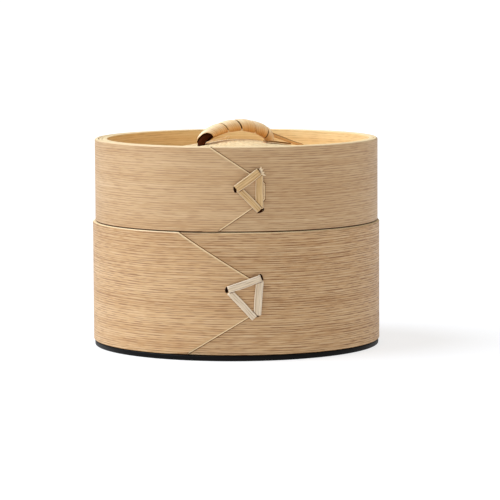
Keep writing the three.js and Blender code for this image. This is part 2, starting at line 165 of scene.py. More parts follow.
def make_floor():
    h, z = FLOOR_HALF, FLOOR_Z
    mesh = bpy.data.meshes.new("floor")
    mesh.from_pydata([(-h, -h, z), (h, -h, z), (h, h, z), (-h, h, z)], [], [(0, 1, 2, 3)])
    s = Shading("floor")
    s.set(Base_Color=(0.34, 0.34, 0.345, 1), Emission_Color=(1, 1, 1, 1), Emission_Strength=0.72)
    s.set(Roughness=0.6, Specular_IOR_Level=0.2)
    mesh.materials.append(s.material)
    link("floor", mesh)


# ---- Materials ----

class Nodes:
    """A node tree, with one short call for a new node."""

    def __init__(self, tree):
        self.tree = tree

    def join(self, source, socket):
        if isinstance(source, bpy.types.NodeSocket):
            self.tree.links.new(source, socket)
        else:
            socket.default_value = source

    def node(self, kind, inputs, output=0, **settings):
        """A new node's output. Each input is a value or another node's output."""
        node = self.tree.nodes.new("ShaderNode" + kind)
        for name, value in settings.items():
            setattr(node, name, value)
        for key, value in inputs.items():
            self.join(value, node.inputs[key])
        return node.outputs[output] if node.outputs else None


class Shading(Nodes):
    """A material's nodes, with calls for what these materials use."""
    def __init__(self, name):
        self.material = bpy.data.materials.new(name)
        self.material.use_nodes = True
        super().__init__(self.material.node_tree)
        self.shader = self.tree.nodes["Principled BSDF"]

    def attribute(self, name, output):
        return self.node("Attribute", {}, output, attribute_name=name)

    def separated(self, vector):
        return [self.node("SeparateXYZ", {0: vector}, axis) for axis in range(3)]

    def scaled(self, vector, scale):
        return self.node("VectorMath", {0: vector, 1: scale}, operation="MULTIPLY")

    def added(self, vector, other):
        return self.node("VectorMath", {0: vector, 1: other}, operation="ADD")

    def noise(self, place, rates, detail=2.0, rough=0.5):
        """Noise that changes about so many times a metre along each axis of a place."""
        inputs = {"Scale": 1.0, "Detail": detail, "Roughness": rough,
                  "Vector": self.scaled(place, rates)}
        return self.node("TexNoise", inputs)

    def between(self, value, low, high, to_low=0.0, to_high=1.0):
        """value from low to high becomes to_low to to_high, smoothly and held past both ends."""
        inputs = {"Value": value, "From Min": low, "From Max": high, "To Min": to_low,
                  "To Max": to_high}
        return self.node("MapRange", inputs, "Result", interpolation_type="SMOOTHSTEP")

    def math(self, operation, first, second=0.0):
        return self.node("Math", {0: first, 1: second}, operation=operation)

    def times(self, first, second):
        return self.math("MULTIPLY", first, second)

    def mix(self, share, first, second, blend="MIX"):
        inputs = {"Factor": share, 6: first, 7: second}
        return self.node("Mix", inputs, 2, data_type="RGBA", blend_type=blend)

    def bump(self, height, distance, strength):
        inputs = {"Strength": strength, "Distance": distance, "Height": height}
        return self.node("Bump", inputs)

    def set(self, **values):
        for name, value in values.items():
            self.join(value, self.shader.inputs[name.replace("_", " ")])


def color(red, green, blue):
    """A screen colour from 0 to 255 as the linear colour that a shader wants."""
    def linear(part):
        part /= 255
        return part / 12.92 if part <= 0.04045 else ((part + 0.055) / 1.055) ** 2.4
    return (linear(red), linear(green), linear(blue), 1.0)


# How often each part of the grain changes in a metre: along the fibres, across them and inwards.
WANDER = (11, 11, 11)
BANDS = (3, 90, 20)
PATCHES = (26, 5, 20)
THREAD = (20, 2300, 60)
SHORT = (95, 1300, 60)
CROWD = (8, 38, 20)
STRAY = (6, 230, 20)
WANDER_BY = 0.0015
LINE_RATE = 3200  # radians of the fine lines' wave for a metre across the grain
LINE_STRAY = 13.0  # radians that the wave strays by
GLOW = (1, 0.84, 0.56, 1)  # what the pale lines tend to
DEEP_SHADOW = (68, 32, 16)
CONTACT_SHADOW = (88, 42, 14)


def fine_lines(s, grain, short, tone):
    """Where the fine dark lines are and the pale ones between them, both broken off here and
    there."""
    stray = s.times(s.noise(grain, STRAY, 2, 0.55), LINE_STRAY)
    phase = s.math("ADD", s.times(s.separated(grain)[1], LINE_RATE), stray)
    wave = s.math("SINE", phase)
    dark = s.times(s.between(wave, 0.15, 1.0), s.between(short, 0.38, 0.6))
    pale = s.times(s.between(wave, 0.0, -1.0), s.between(short, 0.66, 0.42))
    strength = s.between(tone, 0.36, 0.5, 1.24, 1.0)  # a paler strip is a smoother one
    return s.times(dark, strength), s.times(pale, strength)


def contact(s):
    """Painted contact shadow: where a face lies just past the nearest edge of the strip's arrow, or
    of a lace leg that lies over it, in its shadow.
    """
    beside = s.separated(s.attribute("beside", "Vector"))
    past = s.math("MAXIMUM", s.math("MAXIMUM", beside[0], beside[1]), beside[2])
    starts = s.between(past, 0.0, 0.00005)
    return s.times(starts, s.between(past, 0.0001, 0.0011, 1, 0))


def bamboo(name, pale, deep, fleck, lines, fibre, rough=0.55, cut_edge_and_highlight=None,
           low=(0.84, 0.84, 0.84), shine=0.5):
    """Split bamboo: fine lines and short dark flecks that run along the strip.

    The grain attribute's x runs along the fibres, y across them and z into the piece, in metres.
    Where the edge attribute is 1 the strip's cut edge shows in the pale edge colour, partly a
    painted highlight. tone is 0 to 1, and dark below 0 (painted deep shade); low is what it
    multiplies the colour by at 0. beside is how far a point is past each of the three edges of the
    strip's arrow, or past a lace leg that lies over it, where the face under it is in painted
    contact shadow.
    """
    s = Shading(name)
    pale, deep, fleck = color(*pale), color(*deep), color(*fleck)
    grain = s.attribute("grain", "Vector")
    tone = s.attribute("tone", "Fac")
    wander = s.added(s.noise(grain, WANDER, 1), (-0.5, -0.5, -0.5))
    grain = s.added(grain, s.scaled(wander, (0, WANDER_BY, 0)))

    thread = s.noise(grain, THREAD, 2, 0.6)
    short = s.noise(grain, SHORT, 1, 0.5)
    dark_lines, pale_lines = fine_lines(s, grain, short, tone)
    fleck_from = s.between(s.noise(grain, CROWD, 2, 0.5), 0.35, 0.65, 0.66, 0.59)
    flecks = s.between(s.math("SUBTRACT", short, fleck_from), 0.0, 0.09)

    base = s.mix(s.between(s.noise(grain, BANDS, 3, 0.6), 0.3, 0.7), pale, deep)
    base = s.mix(s.between(s.noise(grain, PATCHES, 2, 0.5), 0.3, 0.7, 0, 0.3), base, deep)
    base = s.mix(s.times(dark_lines, 0.7 * lines), base, fleck)
    base = s.mix(s.times(pale_lines, 0.28 * lines), base, GLOW)
    base = s.mix(s.between(thread, 0.4, 0.75, 0, 0.35 * fibre), base, fleck)
    base = s.mix(s.times(flecks, 0.2 * lines), base, fleck)
    # pale cut edges, partly a painted highlight, where the edge attribute is set
    if cut_edge_and_highlight is not None:
        base = s.mix(s.times(s.attribute("edge", "Fac"), 0.9), base, color(*cut_edge_and_highlight))
    bright = {i: s.between(tone, 0.0, 1.0, low[i], 1.12) for i in range(3)}
    base = s.mix(1.0, base, s.node("CombineColor", bright), "MULTIPLY")
    # painted shade: below tone 0 the colour goes to the deep shadow colour and the specular fades
    # out
    painted_shade = s.between(tone, 0.0, -1.0)
    base = s.mix(painted_shade, base, color(*DEEP_SHADOW))
    if cut_edge_and_highlight is not None:
        shadow = contact(s)
        base = s.mix(s.times(shadow, 0.85), base, color(*CONTACT_SHADOW))
        painted_shade = s.math("MAXIMUM", painted_shade, shadow)

    height = s.math("SUBTRACT", s.times(thread, 0.5), s.times(flecks, lines))
    height = s.math("ADD", height, s.times(dark_lines, -0.8 * lines))
    s.set(Base_Color=base, Normal=s.bump(height, 0.00016, 0.5))
    s.set(Roughness=s.between(thread, 0.3, 0.7, rough - 0.06, rough + 0.1))
    s.set(Specular_IOR_Level=s.between(painted_shade, 0.0, 1.0, shine, 0.0))
    return s.material


def make_materials():
    """The material of each slot. A bamboo's values are its pale, deep and fleck colours, how
    strong its lines and its threads are, and then what differs from the defaults."""
    # the hoops' pale cut-edge colour; on the upper edges and the arrow it is partly a painted
    # highlight
    hoop_edge = (255, 230, 182)
    # the cane's colour at tone 0 is tinted orange: painted shade and bounce light under the
    # handle's wrap
    cane_shade_tint = (0.82, 0.56, 0.28)
    woods = {
        "bamboo_basket": ((210, 170, 122), (193, 149, 99), (124, 78, 42), 0.9, 0.6, 0.5, hoop_edge),
        "bamboo_lid": ((208, 172, 128), (193, 153, 107), (134, 90, 54), 0.6, 0.4, 0.5, hoop_edge),
        "bamboo_inside": ((246, 216, 160), (228, 184, 120), (170, 112, 60), 0.5, 0.45, 0.5,
                          hoop_edge),
        "bamboo_slat": ((232, 202, 150), (212, 174, 116), (150, 104, 58), 0.5, 0.55),
        "bamboo_peg": ((226, 190, 138), (200, 158, 104), (140, 92, 50), 0.4, 0.6),
        # a lace's last colour is its pale edge, partly a painted highlight along its legs' rounded
        # edges
        "lace_pale": ((236, 218, 192), (220, 196, 164), (140, 108, 74), 0.7, 1.0, 0.55,
                      (255, 246, 228)),
        "lace_tan": ((224, 188, 132), (204, 162, 104), (132, 88, 46), 0.7, 1.0, 0.55,
                     (250, 234, 204)),
        "cane": ((255, 238, 204), (248, 214, 160), (168, 98, 42), 0.35, 0.8, 0.42, None, cane_shade_tint,
                 0.3),
        "woven_mat": ((252, 228, 184), (240, 208, 154), (170, 124, 78), 0.4, 0.6),
    }
    made = {name: bamboo(name, *values) for name, values in woods.items()}
    made["silicone"] = silicone()
    return made


def silicone():
    s = Shading("silicone")
    place = s.node("TexCoord", {}, "Object")
    speck = s.noise(place, (2600, 2600, 2600), 2)
    smear = s.noise(place, (25, 25, 90), 3)
    s.set(Base_Color=s.mix(smear, color(4, 3, 3), color(8, 7, 7)))
    s.set(Roughness=s.between(smear, 0.3, 0.7, 0.42, 0.56))
    s.set(Normal=s.bump(speck, 0.00004, 0.5))
    s.set(Specular_IOR_Level=0.12)
    return s.material


# ---- Meshes ----

def unit(vector):
    return vector / np.linalg.norm(vector)


def slab(width, thick):
    """The corners of a flat strip's section."""
    half, up = width / 2, thick / 2
    return [(-half, -up), (half, -up), (half, up), (-half, up)]


LONG_SIDE = 0.0045  # a side of a section longer than this has a point just past each round


def rounded(corners, radius, steps=4, support=0.0006):
    """A closed loop of 2-D points: the corners, each rounded, and a point just past each round."""
    loop = []
    count = len(corners)
    for i in range(count):
        here = np.array(corners[i], float)
        back = np.array(corners[i - 1], float) - here
        ahead = np.array(corners[(i + 1) % count], float) - here
        back_length, ahead_length = np.linalg.norm(back), np.linalg.norm(ahead)
        back, ahead = unit(back), unit(ahead)
        half = math.acos(max(-1, min(1, float(back @ ahead)))) / 2
        reach = min(radius / math.tan(half), 0.45 * back_length, 0.45 * ahead_length)
        swing = math.pi - 2 * half
        centre = here + unit(back + ahead) * reach / math.cos(half)
        first = here + back * reach - centre
        second = here + ahead * reach - centre
        side = 1 if first[0] * second[1] - first[1] * second[0] > 0 else -1
        if back_length > LONG_SIDE:
            loop.append(here + back * (reach + support))
        for step in range(steps + 1):
            angle = side * swing * step / steps
            turned = [first[0] * math.cos(angle) - first[1] * math.sin(angle),
                      first[0] * math.sin(angle) + first[1] * math.cos(angle)]
            loop.append(centre + turned)
        if ahead_length > LONG_SIDE:
            loop.append(here + ahead * (reach + support))
    return np.array(loop)


SHARP_ANGLE = math.radians(35)


def link(name, data):
    """A new object in the scene that holds a mesh, a lamp or a camera."""
    made = bpy.data.objects.new(name, data)
    bpy.context.scene.collection.objects.link(made)
    return made


def finish_mesh(mesh):
    """Faces outwards, smooth but for the sharp edges."""
    shape = bmesh.new()
    shape.from_mesh(mesh)
    bmesh.ops.recalc_face_normals(shape, faces=shape.faces)
    shape.to_mesh(mesh)
    shape.free()
    mesh.shade_smooth()
    mesh.set_sharp_from_angle(angle=SHARP_ANGLE)
    mesh.update()


def set_attribute(mesh, name, values):
    """A number or, where values has rows, a vector for each vertex."""
    kind, key = ("FLOAT_VECTOR", "vector") if values.ndim == 2 else ("FLOAT", "value")
    attribute = mesh.attributes.get(name) or mesh.attributes.new(name, kind, "POINT")
    attribute.data.foreach_set(key, values.astype(np.float32).reshape(-1))


class Build:
    """Lofts that end up in one mesh, each vertex with its grain coordinates and tone."""

    def __init__(self):
        self.faces, self.count = [], 0
        self.points, self.grain, self.tone, self.edge, self.beside = [], [], [], [], []

    def loft(self, rows, grain, tone=0.5, closed=False, edge=0.0, beside=-1.0):
        """rows and grain are stations by loop points by 3. tone, edge and beside are one number,
        or can be spread over stations by loop points."""
        rows, grain = np.asarray(rows, float), np.asarray(grain, float)
        stations, around_loop = rows.shape[:2]
        index = np.arange(stations * around_loop).reshape(stations, around_loop) + self.count
        last = stations if closed else stations - 1
        for i in range(last):
            here, there = index[i], index[(i + 1) % stations]
            for j in range(around_loop):
                k = (j + 1) % around_loop
                self.faces.append((here[j], here[k], there[k], there[j]))
        if not closed:
            self.faces.append(tuple(index[0][::-1]))
            self.faces.append(tuple(index[-1]))
        self.points.append(rows.reshape(-1, 3))
        self.grain.append(grain.reshape(-1, 3))
        for kept, values in ((self.tone, tone), (self.edge, edge), (self.beside, beside)):
            kept.append(np.broadcast_to(values, rows.shape[:2]).reshape(-1))
        self.count += stations * around_loop

    def mesh(self, name):
        mesh = bpy.data.meshes.new(name)
        faces = [[int(i) for i in face] for face in self.faces]
        mesh.from_pydata(np.concatenate(self.points).tolist(), [], faces)
        for key, values in (("grain", self.grain), ("tone", self.tone), ("edge", self.edge)):
            set_attribute(mesh, key, np.concatenate(values))
        set_attribute(mesh, "beside", np.column_stack([np.concatenate(self.beside)] * 3))
        finish_mesh(mesh)
        return mesh


def add_piece(name, mesh, slot, body):
    piece = link(name, mesh)
    mesh.materials.clear()
    mesh.materials.append(MATERIALS[slot])
    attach(piece, body)
    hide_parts(name)


def add_loft(name, slot, body, rows, grain, tone, **more):
    """A piece that is one loft."""
    build = Build()
    build.loft(rows, grain, tone, **more)
    add_piece(name, build.mesh(name), slot, body)


def grain_at(along, loop):
    """Grain coordinates of a section's points, at a distance along its piece."""
    return np.column_stack([np.broadcast_to(along, len(loop)), loop])


def around(angle, radius, z):
    """Points at angles in radians round the bore: 0 is the front, positive is to the right."""
    angle, radius, z = np.broadcast_arrays(angle, radius, z)
    x = BORE_X + radius * np.sin(angle)
    y = BORE_Y - radius * np.cos(angle)
    return np.stack([x, y, z], axis=-1)


def share_between(value, low, high):
    return float(np.clip((value - low) / (high - low), 0, 1))


# ---- Hoops ----

HOOP_STEPS = 144
SEAM_OPEN = 0.0035  # radians between the two ends of a hoop's strip
SEAM_LEAN = 0.03  # radians that the seam leans over the hoop's height
STRIP_STEP = 2.5  # degrees
BLUNT = 0.0004  # how much smaller a strip's two ends are
TIP_SUNK = 0.0007
DARK = -0.9  # the tone of a face in deep shadow
EDGE_SLOPE = 0.0010
FIRST_TURN, LAST_TURN = 60, 270  # degrees over which a strip grows paler


def revolved(name, outline, slot, body, seam=None, radius=0.0005, centre=(BORE_X, BORE_Y)):
    """A hoop from its outline of (radius, z) corners. seam is the angle where its ends meet."""
    loop = rounded(outline, radius)
    low, high = loop[:, 1].min(), loop[:, 1].max()
    closed = seam is None
    start = 0.0 if closed else math.radians(seam)
    open_by = 0.0 if closed else SEAM_OPEN
    lean = (0.0 if closed else SEAM_LEAN) * (loop[:, 1] - low) / (high - low)
    moved = np.array([centre[0] - BORE_X, centre[1] - BORE_Y, 0])
    rows, grain = [], []
    for i in range(HOOP_STEPS if closed else HOOP_STEPS + 1):
        turned = start + (2 * math.pi - open_by) * i / HOOP_STEPS
        rows.append(around(turned + lean, loop[:, 0], loop[:, 1]) + moved)
        along = (turned + lean) * loop[:, 0].max()
        grain.append(np.stack([along, loop[:, 1], loop[:, 0]], axis=-1))
    rim = np.minimum(loop[:, 1] - low, high - loop[:, 1]) < radius * 0.7
    add_loft(name, slot, body, rows, grain, 0.5, closed=closed, edge=rim.astype(float))


class StripHoop:
    """One strip that goes once round, then laps over itself to an arrow, as in the frame."""

    def __init__(self, turn_outer, thick, low, high, upper, lower, tip, tip_low, tip_high,
                 shaded_foot):
        self.turn_outer, self.thick = turn_outer, thick
        self.low, self.high = low, high
        self.upper, self.lower, self.tip = upper, lower, tip
        self.tip_low, self.tip_high = tip_low, tip_high
        self.shaded_foot = shaded_foot  # height of the dark line along the lower edge
        self.bore = turn_outer - thick
        self.face = turn_outer + GAP + ARROW_THICK

    def shaved_start(self, angle):
        share = share_between(angle, START, START + SHAVED)
        return FEATHER + (self.thick - FEATHER) * share

    def thickness(self, angle):
        if angle < START + SHAVED:
            return self.shaved_start(angle)
        share = share_between(angle, SIDE, 360 + self.upper)
        return self.thick - (self.thick - ARROW_THICK) * share

    def lift(self, angle):
        if angle < START + 360:
            return (FEATHER + GAP) * share_between(angle, CLIMB, START + 355)
        return self.shaved_start(angle - 360) + GAP

    def stations(self):
        upper, lower, tip = 360 + self.upper, 360 + self.lower, 360 + self.tip
        angles = list(np.arange(START, upper, STRIP_STEP))
        angles += list(np.linspace(upper, tip - 0.5, 22))
        angles += [tip, lower, START + 0.15, tip - 0.5]
        return sorted(set(round(float(a), 4) for a in angles))

    def section(self, angle):
        """The strip's rounded outline of (radius, z) at an angle in degrees along it."""
        inner = self.bore + self.lift(angle)
        outer = inner + self.thickness(angle)
        upper = share_between(angle, 360 + self.upper, 360 + self.tip)
        lower = share_between(angle, 360 + self.lower, 360 + self.tip)
        high = self.high - (self.high - self.low - self.tip_high) * upper
        low = self.low + self.tip_low * lower
        shrink = BLUNT if angle in (START, 360 + self.tip) else 0.0
        bevel = 0.0004 + 0.0013 * share_between(angle, 355 + self.upper, 362 + self.upper)
        top = max(bevel, 0.0009)
        if angle == 360 + self.tip:
            outer -= TIP_SUNK
        face, slope = outer - shrink, outer - EDGE_SLOPE - shrink
        corners = [(inner + shrink, low + shrink), (slope, low + shrink),
                   (face, low + bevel + shrink), (face, high - top - shrink),
                   (slope, high - shrink), (inner + shrink, high - shrink)]
        loop = rounded(corners, 0.00025, 3)
        heights = np.linspace(low + 0.004, high - 0.004, 9)
        outside = [(outer, z) for z in heights]
        inside = [(inner, z) for z in heights[::-1]]
        lower_face = (loop[:, 0] > face - 0.00002) & (loop[:, 1] < (low + high) / 2)
        loop = np.insert(loop, np.flatnonzero(lower_face)[-1] + 1, outside, axis=0)
        return np.concatenate([loop, inside])

    def describe(self, points):
        """Grain coordinates of points on the strip, and how far each is from its outer face."""
        x, y, z = points[:, 0] - BORE_X, points[:, 1] - BORE_Y, points[:, 2]
        radius = np.hypot(x, y)
        angle = np.degrees(np.arctan2(x, -y))
        first_face = np.array([self.bore + self.shaved_start(a) for a in angle])
        lapped = (angle > START) & (angle < self.tip + 0.5) & (radius > first_face + GAP / 2)
        angle = np.where(angle < START, angle + 360, angle)
        angle = np.where(lapped, angle + 360, angle)
        depth = [self.bore + self.lift(a) + self.thickness(a) - r for a, r in zip(angle, radius)]
        grain = np.stack([np.radians(angle) * self.turn_outer, z, radius], axis=-1)
        paler = np.clip((angle - FIRST_TURN) / (LAST_TURN - FIRST_TURN), 0, 1)
        return grain, np.array(depth), 0.36 + 0.14 * paler

    def past_arrow(self, points):
        """How far points are past the arrow's upper edge, its lower edge and its tip."""
        angle = np.arctan2(points[:, 0] - BORE_X, BORE_Y - points[:, 1])
        along = angle * self.face
        tip = math.radians(self.tip) * self.face
        past = [along - tip]
        for start, corner, sign, edge in ((self.upper, self.low + self.tip_high, 1, self.high),
                                          (self.lower, self.low + self.tip_low, -1, self.low)):
            begin = math.radians(start) * self.face
            way = unit(np.array([tip - begin, corner - edge]))
            past.append(sign * ((points[:, 2] - edge) * way[0] - (along - begin) * way[1]))
        past = np.stack(past, axis=-1)
        past[np.abs(angle) > 1.2] = -1
        return past

    def mesh(self, name, cutters, slots):
        """The hoop with its slots cut, dark at its foot and in the slots (painted shade), pale on
        its cut edges but not the lower ones (partly a painted highlight).
        """
        rows = []
        for angle in self.stations():
            loop = self.section(angle)
            rows.append(around(math.radians(angle), loop[:, 0], loop[:, 1]))
        build = Build()
        build.loft(rows, np.zeros_like(rows))
        mesh = cut(build.mesh(name), cutters)
        points = np.zeros(len(mesh.vertices) * 3)
        mesh.vertices.foreach_get("co", points)
        points = points.reshape(-1, 3)
        grain, depth, tone = self.describe(points)
        edge = np.clip((depth - 0.0001) / 0.0002, 0, 1)
        height = points[:, 2] - self.low
        # the pale edge stays off the lower edges, which face down: on the upper edges and the arrow
        # it is partly a painted highlight
        edge[height < 0.0009] = 0
        tone[height < self.shaded_foot] = DARK
        angle = np.arctan2(points[:, 0] - BORE_X, BORE_Y - points[:, 1])
        for centre, _, length, _ in slots:
            away = np.hypot(angle * self.face - centre[0], height - centre[1])
            inside = (away < length / 2 + 0.001) & (depth > 0.0003)
            tone[inside] = DARK
            edge[inside] = 0
        set_attribute(mesh, "grain", grain)
        set_attribute(mesh, "beside", self.past_arrow(points))
        set_attribute(mesh, "tone", tone)
        set_attribute(mesh, "edge", edge)
        return mesh


def cut(mesh, cutters):
    """The mesh less each cutter mesh."""
    body = link("cut_body", mesh)
    tools = []
    for i, cutter in enumerate(cutters):
        tool = link(f"cut_tool_{i}", cutter)
        tools.append(tool)
        modifier = body.modifiers.new(f"cut_{i}", "BOOLEAN")
        modifier.operation = "DIFFERENCE"
        modifier.solver = "EXACT"
        modifier.object = tool
    bpy.context.view_layer.update()
    graph = bpy.context.evaluated_depsgraph_get()
    result = bpy.data.meshes.new_from_object(body.evaluated_get(graph))
    for old in [body, *tools]:
        bpy.data.objects.remove(old)
    finish_mesh(result)
    return result


# ---- Lacing ----

Leg = namedtuple("Leg", "start end width rise tone", defaults=(0.0, 0.5))
LACE_THICK = 0.0012
FOLD = 0.0011  # radius of a leg's turn into its slot


class Lacing:
    """A flat strip that goes in and out of three slots in a hoop.

    Places are (along, up): along is measured round the hoop's face from the front, and up from
    the hoop's lower edge.
    """

    def __init__(self, hoop, width, legs, slots):
        self.hoop, self.width, self.legs, self.slots = hoop, width, legs, slots

    def add_pieces(self, part, wood, lace, body, extra=None):
        hoop_name, lace_name = f"{part}_outer_hoop", f"{part}_lacing"
        add_piece(hoop_name, self.hoop.mesh(hoop_name, self.cutters(), self.slots), wood, body)
        add_piece(lace_name, self.mesh(lace_name, extra), lace, body)

    def place(self, along, up, radius):
        return around(np.asarray(along) / self.hoop.face, radius, self.hoop.low + np.asarray(up))

    def bar(self, centre, heading, length, width):
        """A cutter: a block through the hoop, its length along a heading and its ends narrow."""
        inner, outer = self.hoop.bore - 0.002, self.hoop.face + 0.006
        rows = []
        for t in np.linspace(-length / 2, length / 2, 9):
            loop = []
            taper = 0.25 + 0.75 * math.sqrt(1 - (2 * t / length) ** 2)
            for across, radius in [(-1, inner), (1, inner), (1, outer), (-1, outer)]:
                side = across * width / 2 * taper
                along = centre[0] + t * math.cos(heading) - side * math.sin(heading)
                up = centre[1] + t * math.sin(heading) + side * math.cos(heading)
                loop.append(self.place(along, up, radius))
            rows.append(loop)
        build = Build()
        build.loft(rows, np.zeros_like(rows))
        return build.mesh("cutter")

    def cutters(self):
        return [self.bar(*slot) for slot in self.slots]

    def past_legs(self, along, up, legs):
        """How far places are outside the nearest of the legs that lie over them."""
        nearest = np.full(len(along), 1.0)
        for leg in legs:
            start, end = np.array(leg.start), np.array(leg.end)
            way = unit(end - start)
            east, north = along - start[0], up - start[1]
            away = np.abs(east * way[1] - north * way[0]) - leg.width / 2
            reach = east * way[0] + north * way[1]
            past_end = np.maximum(-reach, reach - np.linalg.norm(end - start))
            nearest = np.minimum(nearest, np.maximum(away, past_end))
        return nearest

    def leg_path(self, length, top):
        """(along, radius) of a leg: out of a slot, over the hoop's face and into the next."""
        low = self.hoop.bore + 0.0006
        folds = np.linspace(0, math.pi / 2, 5)
        path = [(0, low), (0, top - 2.4 * FOLD)]
        path += [(FOLD * (1 - math.cos(a)), top - FOLD * (1 - math.sin(a))) for a in folds]
        path += [(t, top) for t in np.linspace(0.05 * length, 0.95 * length, 45)]
        path += [(length - FOLD * (1 - math.sin(a)), top - FOLD * (1 - math.cos(a)))
                 for a in folds]
        path += [(length, top - 2.4 * FOLD), (length, low)]
        return np.array(path)

    def add_leg(self, build, leg, index):
        start, end, width = np.array(leg.start), np.array(leg.end), leg.width
        length = np.linalg.norm(end - start)
        way = (end - start) / length
        top = self.hoop.face + 0.0002 + LACE_THICK / 2 + leg.rise
        path = self.leg_path(length, top)
        ways = np.gradient(path, axis=0)
        ways /= np.linalg.norm(ways, axis=1)[:, None]
        half = width / 2
        loop = rounded(slab(width, LACE_THICK), 0.00028, 3, 0.0004)
        crown = 0.00020 * (1 - (loop[:, 0] / half) ** 2) * (loop[:, 1] > 0)
        rows, grain, beside = [], [], []
        travelled = 0.0
        for i, (point, direction) in enumerate(zip(path, ways)):
            out = np.array([-direction[1], direction[0]])
            if i:
                travelled += np.linalg.norm(point - path[i - 1])
            wobble = 0.00010 * math.sin(3.1 * index + 240 * travelled)
            across = loop[:, 0] * (1 - 0.03 * math.cos(160 * travelled)) + wobble
            offset = loop[:, 1] + crown
            along_leg = point[0] + out[0] * offset
            radius = point[1] + out[1] * offset
            along = start[0] + along_leg * way[0] - across * way[1]
            up = start[1] + along_leg * way[1] + across * way[0]
            rows.append(self.place(along, up, radius))
            # painted contact shadow just past the edges of the legs that lie over this one
            beside.append(self.past_legs(along, up, self.legs[index + 1:]))
            grain.append(grain_at(travelled, loop) + [index * 0.31, index * 0.07, 0])
        tone = np.full(len(path), leg.tone)
        # painted shade on the leg's ends, where they turn down into the slots
        tone[path[:, 1] < top - 1.2 * FOLD] = -0.6
        # painted highlight: the pale edge colour at half strength along the outer face's two long
        # edges
        rim = 0.5 * (np.abs(loop[:, 0]) > half - 0.00035) * (loop[:, 1] > 0)
        build.loft(rows, grain, tone[:, None], edge=rim[None, :], beside=beside)

    def add_inner_run(self, build, start, end):
        """The lace behind the hoop, in shadow: it shows only through the slots."""
        start, end = np.array(start), np.array(end)
        way = unit(end - start)
        half = self.width / 2 + 0.0004
        low, high = self.hoop.bore + 0.0001, self.hoop.bore + 0.0011
        loop = rounded([(-half, low), (half, low), (half, high), (-half, high)], 0.0003, 2, 0.0004)
        rows, grain = [], []
        for t in np.linspace(-0.0022, np.linalg.norm(end - start) + 0.0022, 8):
            along = start[0] + way[0] * t - way[1] * loop[:, 0]
            up = start[1] + way[1] * t + way[0] * loop[:, 0]
            rows.append(self.place(along, up, loop[:, 1]))
            grain.append(grain_at(t, loop))
        build.loft(rows, grain, -0.95)

    def mesh(self, name, extra):
        build = Build()
        for index, leg in enumerate(self.legs):
            self.add_leg(build, leg, index)
        left, top, bottom = [slot[0] for slot in self.slots]
        self.add_inner_run(build, left, top)
        self.add_inner_run(build, left, bottom)
        if extra:
            extra(build, self)
        return build.mesh(name)


def heading(start, end):
    return math.atan2(end[1] - start[1], end[0] - start[0])


def lid_tail(build, lacing):
    """The frayed end of the lid's lace, tucked back through its upper slot."""
    chance = random.Random(7)
    ways = ((0.0012, 0.0033), (0.0028, 0.0024), (0.0038, 0.0003), (0.0046, -0.0020))
    loop = rounded(slab(0.0018, 0.0008), 0.0003, 2, 0.0004)
    for strand, way in enumerate(ways):
        start = np.array([0.0184 + 0.0002 * strand, 0.0524 - 0.0008 * strand])
        way = np.array(way)
        side = unit(np.array([-way[1], way[0]]))
        rows, grain = [], []
        for t in np.linspace(0, 1, 8):
            narrow = 1 - 0.55 * t ** 2
            rise = 0.0016 * math.sin(math.pi * min(1, 0.25 + 0.75 * t)) - 0.0016 * (1 - t) ** 3
            point = start + way * t
            along = point[0] + side[0] * loop[:, 0] * narrow
            up = point[1] + side[1] * loop[:, 0] * narrow
            radius = lacing.hoop.turn_outer + 0.0004 + rise + loop[:, 1] * narrow
            rows.append(lacing.place(along, up, radius))
            grain.append(grain_at(t * 0.005, loop))
        pale = np.linspace(1.0, 0.35, len(rows))[:, None]
        build.loft(rows, grain, 0.9 + 0.1 * chance.random(), edge=pale)


# ---- The woven panel ----

def dome_z(radius):
    """Height of the panel's upper face at a distance from the lid's axis."""
    past_flat = np.clip(radius, CROWN_FLAT, PANEL_RADIUS) - CROWN_FLAT
    fall = np.hypot(past_flat, CROWN_ROUND) - CROWN_ROUND
    return RIM_Z - CROWN_DROP - DOME_SLOPE * fall


BEND = 0.27  # how far from a crossing's middle a strip bends, as a share of the pitch


def woven_places(over, pitch, far):
    """Stations along a woven strip: its ends, where it bends between two crossings on different
    levels, and one in every sixth crossing, to follow the dome."""
    places = [-far]
    for j in sorted(over)[1:-1]:
        for bit, neighbour in ((-BEND, j - 1), (BEND, j + 1)):
            t = (j + bit) * pitch
            wanted = over[j] != over[neighbour] or (bit > 0 and j % 6 == 0)
            if wanted and -far + 0.001 < t < far - 0.001:
                places.append(t)
    return places + [far]


